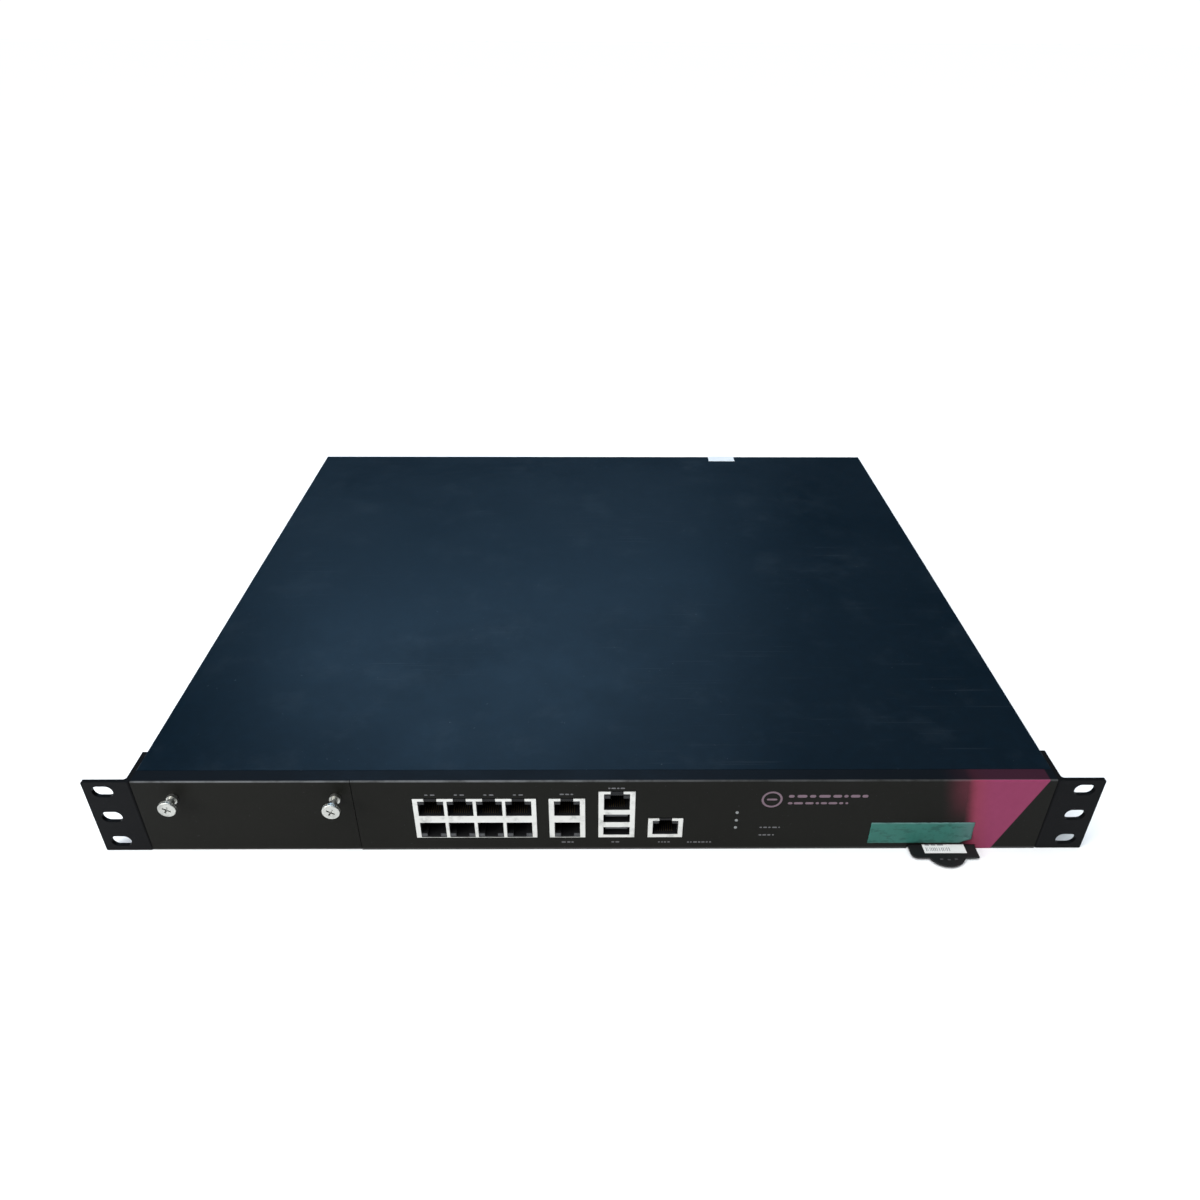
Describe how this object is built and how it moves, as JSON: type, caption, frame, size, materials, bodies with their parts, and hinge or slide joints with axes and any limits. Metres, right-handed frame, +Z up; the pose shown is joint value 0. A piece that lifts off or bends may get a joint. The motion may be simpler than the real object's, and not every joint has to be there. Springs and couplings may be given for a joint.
{
  "type": "firewall appliance",
  "caption": "Low rack-mounted network firewall with jack blocks, an expansion bay behind a blank, a pull-out tag, a sliding cover, rear fans and a mains inlet.",
  "frame": {"origin": "middle of the underside, halfway between the pull-out tag's front edge and the rear screw heads", "axes": "+X to the right seen from the front, +Y from the front to the rear, +Z up"},
  "size_m": [0.4826, 0.428, 0.0441],
  "materials": {
    "chassis_paint": "satin powder coat",
    "front_paint": "satin powder coat with a magenta band",
    "ear_paint": "satin powder coat",
    "cover_paint": "satin dark blue powder coat, lightly worn",
    "dark_screws": "black zinc",
    "zinc_screws": "zinc plated",
    "seal_film": "matt film",
    "thumbscrew_nickel": "bright nickel",
    "black_plastic": "matt",
    "jack_nickel": "bright nickel plate",
    "jack_plastic": "matt",
    "contact_gold": "gold flash",
    "tongue_plastic": "matt",
    "light_pipe": "clear moulded",
    "circuit_board": "solder mask",
    "memory_board": "solder mask",
    "tag_plastic": "fine texture",
    "label_paper": "matt",
    "tape_film": "matt tape",
    "standoff_brass": "turned",
    "chip_black": "moulded",
    "sink_aluminium": "extruded",
    "drive_case": "brushed",
    "zinc_sheet": "galvanised sheet",
    "lead_sleeve": "braided sleeve",
    "cell_steel": "polished",
    "component_black": "moulded",
    "inlet_plastic": "moulded",
    "pin_nickel": "nickel plated",
    "rocker_plastic": "moulded",
    "fan_plastic": "moulded",
    "rotor_plastic": "moulded",
    "guard_wire": "zinc-plated wire"
  },
  "bodies": {
    "enclosure": {"chassis_base": "chassis_paint", "rear_panel": "chassis_paint", "front_panel": "front_paint", "rack_ear_left": "ear_paint", "rack_ear_right": "ear_paint", "ear_screws": "dark_screws", "fan_screws": "dark_screws", "inner_screws": "zinc_screws", "slot_guides": "black_plastic", "expansion_connector": "black_plastic", "lan_jack_shield": "jack_nickel", "mgmt_jack_shield": "jack_nickel", "console_jack_shield": "jack_nickel", "single_jack_shield": "jack_nickel", "lan_jack_housing": "jack_plastic", "mgmt_jack_housing": "jack_plastic", "console_jack_housing": "jack_plastic", "single_jack_housing": "jack_plastic", "jack_contacts": "contact_gold", "usb_tongues": "tongue_plastic", "status_light_pipes": "light_pipe", "status_led_board": "circuit_board", "tag_guide": "black_plastic", "tape_label": "tape_film", "mainboard": "circuit_board", "board_standoffs": "standoff_brass", "chip_packages": "chip_black", "processor_heatsink": "sink_aluminium", "network_heatsink": "sink_aluminium", "memory_modules": "memory_board", "memory_sockets": "black_plastic", "storage_drive": "drive_case", "drive_bracket": "zinc_sheet", "drive_cable": "lead_sleeve", "coin_cell": "cell_steel", "psu_case": "zinc_sheet", "psu_lid": "zinc_sheet", "psu_circuit_board": "circuit_board", "psu_components": "component_black", "power_inlet": "inlet_plastic", "inlet_pins": "pin_nickel", "switch_frame": "inlet_plastic", "fan_frames": "fan_plastic", "fan_guards": "guard_wire", "power_harness": "lead_sleeve", "fan_leads": "lead_sleeve"},
    "cover": {"top_cover": "cover_paint", "cover_screws": "dark_screws", "seal_label": "seal_film"},
    "slot_cover": {"slot_blank": "front_paint", "thumbscrew_ferrules": "thumbscrew_nickel"},
    "screw_left": {"thumbscrew_left": "thumbscrew_nickel"},
    "screw_right": {"thumbscrew_right": "thumbscrew_nickel"},
    "tag": {"pull_tag": "tag_plastic", "tag_label": "label_paper"},
    "rocker": {"switch_rocker": "rocker_plastic"},
    "fan_1": {"fan_rotor_1": "rotor_plastic"},
    "fan_2": {"fan_rotor_2": "rotor_plastic"},
    "fan_3": {"fan_rotor_3": "rotor_plastic"},
    "psu_fan": {"psu_fan_rotor": "rotor_plastic"}
  },
  "joints": [
    {"name": "cover_slide", "type": "slide", "parent": "enclosure", "child": "cover", "axis": [0, 1, 0], "range_m": [0, 0.3]},
    {"name": "blank_pull", "type": "slide", "parent": "enclosure", "child": "slot_cover", "axis": [0, -1, 0], "range_m": [0, 0.06]},
    {"name": "tag_slide", "type": "slide", "parent": "enclosure", "child": "tag", "axis": [0, -1, 0], "range_m": [-0.008, 0.03]},
    {"name": "rocker_press", "type": "hinge", "parent": "enclosure", "child": "rocker", "pos_m": [0.17, 0.2096, 0.0211], "axis": [-1, 0, 0], "range_deg": [0, 16]},
    {"name": "fan_1_spin", "type": "hinge", "parent": "enclosure", "child": "fan_1", "pos_m": [-0.132, 0.2, 0.0212], "axis": [0, 1, 0], "continuous": true},
    {"name": "fan_2_spin", "type": "hinge", "parent": "enclosure", "child": "fan_2", "pos_m": [-0.076, 0.2, 0.0212], "axis": [0, 1, 0], "continuous": true},
    {"name": "fan_3_spin", "type": "hinge", "parent": "enclosure", "child": "fan_3", "pos_m": [-0.02, 0.2, 0.0212], "axis": [0, 1, 0], "continuous": true},
    {"name": "psu_fan_spin", "type": "hinge", "parent": "enclosure", "child": "psu_fan", "pos_m": [0.14, 0.199, 0.0211], "axis": [0, 1, 0], "continuous": true},
    {"name": "screw_left_turn", "type": "hinge", "parent": "slot_cover", "child": "screw_left", "pos_m": [-0.2004, -0.207, 0.034], "axis": [0, 1, 0], "continuous": true},
    {"name": "screw_right_turn", "type": "hinge", "parent": "slot_cover", "child": "screw_right", "pos_m": [-0.1236, -0.207, 0.034], "axis": [0, 1, 0], "continuous": true}
  ]
}
